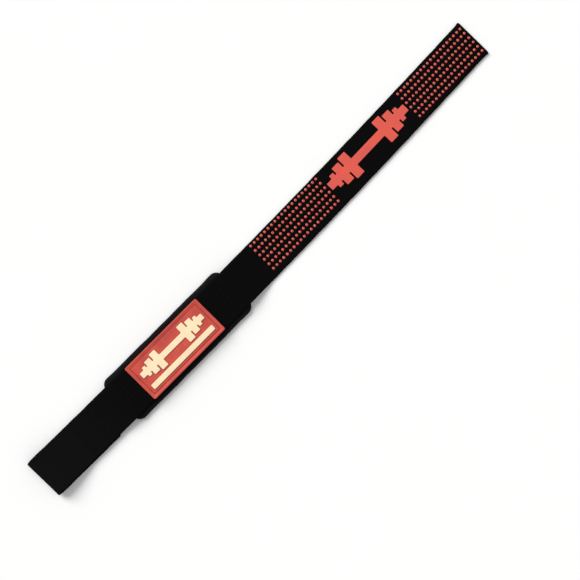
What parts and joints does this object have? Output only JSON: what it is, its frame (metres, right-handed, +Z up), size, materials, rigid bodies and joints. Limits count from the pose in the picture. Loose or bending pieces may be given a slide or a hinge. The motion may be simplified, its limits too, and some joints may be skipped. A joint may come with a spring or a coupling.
{
  "type": "padded weightlifting strap",
  "caption": "Flat webbing lifting strap with a sewn loop at one end, a neoprene wrist pad with a badge, and a tail with printed silicone grip dots.",
  "frame": {"origin": "under the middle of the strap's bounding box, on the surface that it lies on", "axes": "+X along the strap from the loop's fold to the tail's end, +Y across it, +Z up out of the front face with the badge"},
  "size_m": [0.5398, 0.0484, 0.0096],
  "materials": {
    "webbing": "matt black woven webbing",
    "neoprene": "matt black neoprene foam with a fine knitted face",
    "thread": "black bonded thread, slight sheen",
    "badge_red": "satin moulded red rubber",
    "badge_cream": "satin moulded cream rubber",
    "grip_red": "slightly glossy printed red silicone"
  },
  "bodies": {
    "root": {"webbing": "webbing", "neoprene_pad": "neoprene", "loop_tack": "thread", "tail_tack": "thread", "badge_plate": "badge_red", "badge_barbell": "badge_cream", "badge_bar": "badge_cream", "grip_motif": "grip_red"}
  },
  "joints": []
}
